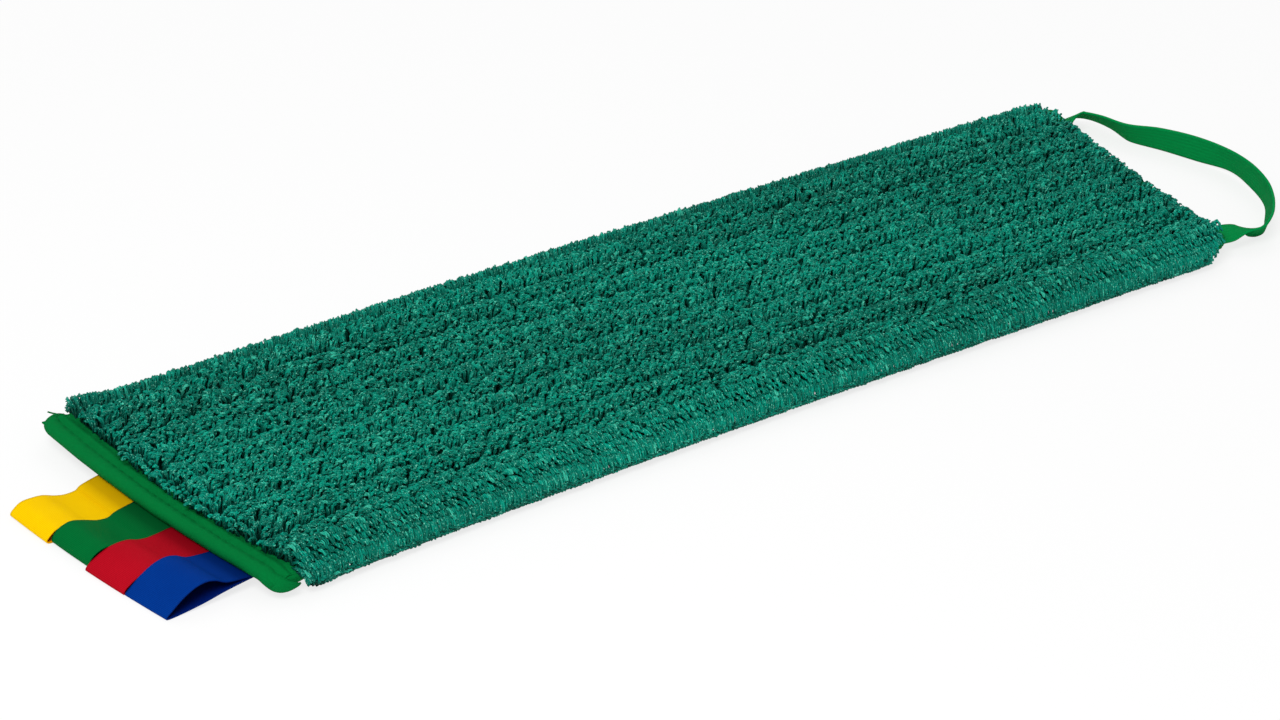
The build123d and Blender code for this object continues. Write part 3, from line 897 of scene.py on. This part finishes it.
# Route of the middle of the tape past the cover's end, from the far root round to the near one:
# (x, y, height above the floor) in millimetres, and how far the tape's width leans from upright
# towards the inside of the loop, in degrees
STRAP_ROUTE = [
    (-22, 52, 5.2, 90), (-12, 52, 5.2, 88), (-4, 52.2, 5.4, 70), (0.3, 53.4, 6.0, 55),
    (4.4, 54.8, 6.4, 50), (11.2, 55, 6.4, 55), (17.6, 45, 6.5, 46), (22.9, 33.2, 5.5, 31),
    (31.8, 21, 6.2, 19), (40.2, 6, 6.8, 12), (46.3, -9.6, 7.5, 20), (46.6, -24.5, 7.5, 11),
    (43.5, -38, 7.0, 5), (36.2, -48.6, 6.8, -8), (28.1, -56.4, 6.0, -17), (20.2, -58.4, 5.5, -44),
    (13.6, -56.4, 6.9, -72), (7, -54.2, 5.8, -92), (-0.6, -52.7, 5.2, -90), (-12, -52, 5.2, -90),
    (-22, -52, 5.2, -90),
]
STRAP_WIDTH = 12.0 * MM
STRAP_THICKNESS = 0.9 * MM
STRAP_GRID = (340, 12)       # points along and across the strap


def make_strap():
    """One tape from corner to corner, which stands on its edge in the middle of its loop."""
    route = smooth_path(STRAP_ROUTE, STRAP_GRID[0])
    middle = lie(route[:, :3] * MM + np.array([RIGHT, 0, FLOOR]))
    turned = np.radians(route[:, 3])
    direction = unit(np.gradient(middle, axis=0))
    level = unit(np.cross(direction, np.array([0.0, 0.0, 1.0])))
    upright = np.cross(level, direction)
    width = np.cos(turned)[:, None] * upright + np.sin(turned)[:, None] * level
    offsets = np.linspace(0.5, -0.5, STRAP_GRID[1]) * STRAP_WIDTH
    place = middle[:, None] + width[:, None] * offsets[None, :, None]
    place[..., 2] = np.maximum(place[..., 2], FLOOR + STRAP_THICKNESS / 2)
    piece = cloth_piece("hook_strap", place, STRAP_THICKNESS, STRAP)
    as_cloth(piece, None, ["strap_loop", "strap_root_near", "strap_root_far"])
    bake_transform(piece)


# ---------------------------------------------------------------- stitching

# How far each seam's stitches lie below their CAD place
SEAMS = {"tag_end_stitches": 0.5 * MM, "strap_end_stitches": 0.1 * MM, "pocket_stitches": 0.0,
         "strap_bar_tacks": 0.0}
THREAD_RADIUS = 0.28 * MM
THREAD_RINGS = 26
THREAD_SIDES = 6


def thread_piece(name, node, mesh):
    """A mesh of sewing thread that stands for a node of the cover."""
    mesh.shade_smooth()
    mesh.materials.append(THREAD)
    piece = bpy.data.objects.new(name, mesh)
    bpy.context.scene.collection.objects.link(piece)
    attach(piece, "cover")
    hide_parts(node)


def make_stitches():
    """Stitches where the CAD model has them, moved to where the cover comes to lie."""
    for node, sink in SEAMS.items():
        source = bpy.data.objects[node]
        points = np.array([source.matrix_world @ vertex.co for vertex in source.data.vertices])
        points[:, 2] -= sink
        mesh = bpy.data.meshes.new(f"sewn_{node}")
        mesh.from_pydata(lie(points).tolist(), [],
                         [list(face.vertices) for face in source.data.polygons])
        thread_piece(f"sewn_{node}", node, mesh)


def make_loose_thread():
    """The end of the seam's thread, left standing at the far end of the rolled binding."""
    corner = np.array([LEFT, *TAG_BINDING[1][1:]])
    bends = np.array([(9.6, -2.6, -2.2), (8.7, -1.2, -1.1), (7.6, 0.0, -0.5), (6.6, 1.1, -0.4),
                      (5.4, 2.3, -0.1)]) * MM
    route = smooth_path(corner + bends, THREAD_RINGS)
    direction = unit(np.gradient(route, axis=0))
    side = unit(np.cross(direction, np.array([0.2, 0.1, 1.0])))
    other = np.cross(direction, side)
    turn = np.arange(THREAD_SIDES) * 2 * pi / THREAD_SIDES
    ring = np.cos(turn)[:, None] * side[:, None] + np.sin(turn)[:, None] * other[:, None]
    points = (route[:, None] + THREAD_RADIUS * ring).reshape(-1, 3)
    rows = np.arange(THREAD_RINGS * THREAD_SIDES).reshape(THREAD_RINGS, THREAD_SIDES).tolist()
    faces = []
    for row, after in zip(rows, rows[1:]):
        for spot in range(THREAD_SIDES):
            beside = (spot + 1) % THREAD_SIDES
            faces.append([row[spot], row[beside], after[beside], after[spot]])
    mesh = bpy.data.meshes.new("loose_thread")
    mesh.from_pydata(lie(points).tolist(), [], [*faces, rows[0][::-1], rows[-1]])
    thread_piece("loose_thread", "tag_end_stitches", mesh)


# ---------------------------------------------------------------- floor, light and camera

CAMERA_AZIMUTH = -38.5
CAMERA_ELEVATION = 29.4
CAMERA_ROLL = -2.6
CAMERA_LENS = 110.0
CAMERA_DISTANCE = 1.442
CAMERA_TARGET = (-0.0264, -0.0082, 0.0)
FLOOR_HALF = 6.0             # half of the floor's side
FLOOR_GLOW = 1.03            # strength of the plain white that the camera sees on the floor
GLOW_SHARE = 0.75            # share of that white, the rest being the lit floor with its shadow
WORLD_LIGHT = 0.45


def make_floor():
    finish = Finish("white_floor", 0.9)
    finish.set("Base Color", (0.9, 0.9, 0.9, 1.0))
    seen = finish.node("ShaderNodeLightPath", output="Is Camera Ray")
    white = {"Color": (1, 1, 1, 1), "Strength": FLOOR_GLOW}
    glow = finish.node("ShaderNodeEmission", None, white)
    shaded = Wire(finish, finish.shader.outputs[0])
    parts = {0: seen * GLOW_SHARE, 1: shaded, 2: glow}
    mixed = finish.node("ShaderNodeMixShader", None, parts)
    finish.tree.links.new(mixed.socket, finish.tree.nodes["Material Output"].inputs["Surface"])
    corners = np.array([(-1, -1, 0), (1, -1, 0), (1, 1, 0), (-1, 1, 0)]) * FLOOR_HALF
    floor = new_piece("floor", corners + [0, 0, FLOOR], np.array([[0, 1, 2, 3]]), finish.material)


def area_lamp(name, place, size, power):
    """A square lamp that shines on the cover's middle."""
    lamp = bpy.data.lights.new(name, "AREA")
    lamp.size = size
    lamp.energy = power
    holder = bpy.data.objects.new(name, lamp)
    bpy.context.scene.collection.objects.link(holder)
    holder.location = place
    holder.rotation_euler = (-Vector(place)).to_track_quat("-Z", "Y").to_euler()


def make_light():
    world = bpy.data.worlds.new("studio")
    world.use_nodes = True
    background = world.node_tree.nodes["Background"]
    background.inputs["Color"].default_value = (1, 1, 1, 1)
    background.inputs["Strength"].default_value = WORLD_LIGHT
    bpy.context.scene.world = world
    area_lamp("key", (-1.0, -0.7, 1.5), 0.8, 22.0)
    area_lamp("fill", (0.9, 0.9, 1.4), 1.2, 5.0)


def make_camera():
    azimuth, elevation = radians(CAMERA_AZIMUTH), radians(CAMERA_ELEVATION)
    back = Vector((sin(azimuth) * cos(elevation), -cos(azimuth) * cos(elevation), sin(elevation)))
    right = (-back).cross(Vector((0, 0, 1))).normalized()
    down = (-back).cross(right)
    roll = radians(CAMERA_ROLL)
    rolled_right = cos(roll) * right + sin(roll) * down
    rolled_down = -sin(roll) * right + cos(roll) * down
    camera = bpy.data.objects.new("camera", bpy.data.cameras.new("camera"))
    bpy.context.scene.collection.objects.link(camera)
    place = Matrix((rolled_right, -rolled_down, back)).transposed().to_4x4()
    place.translation = Vector(CAMERA_TARGET) + back * CAMERA_DISTANCE
    camera.matrix_world = place
    camera.data.lens = CAMERA_LENS
    camera.data.clip_start = 0.05
    bpy.context.scene.camera = camera


# ---------------------------------------------------------------- making

make_camera()
make_light()
make_floor()
make_layers()
make_rolled_binding()
make_strap_end_tape()
make_side_hems()
make_inner_strip()
make_pocket()
make_tags()
make_strap()
make_stitches()
make_loose_thread()
make_pile()

bpy.context.scene.view_settings.view_transform = "Standard"
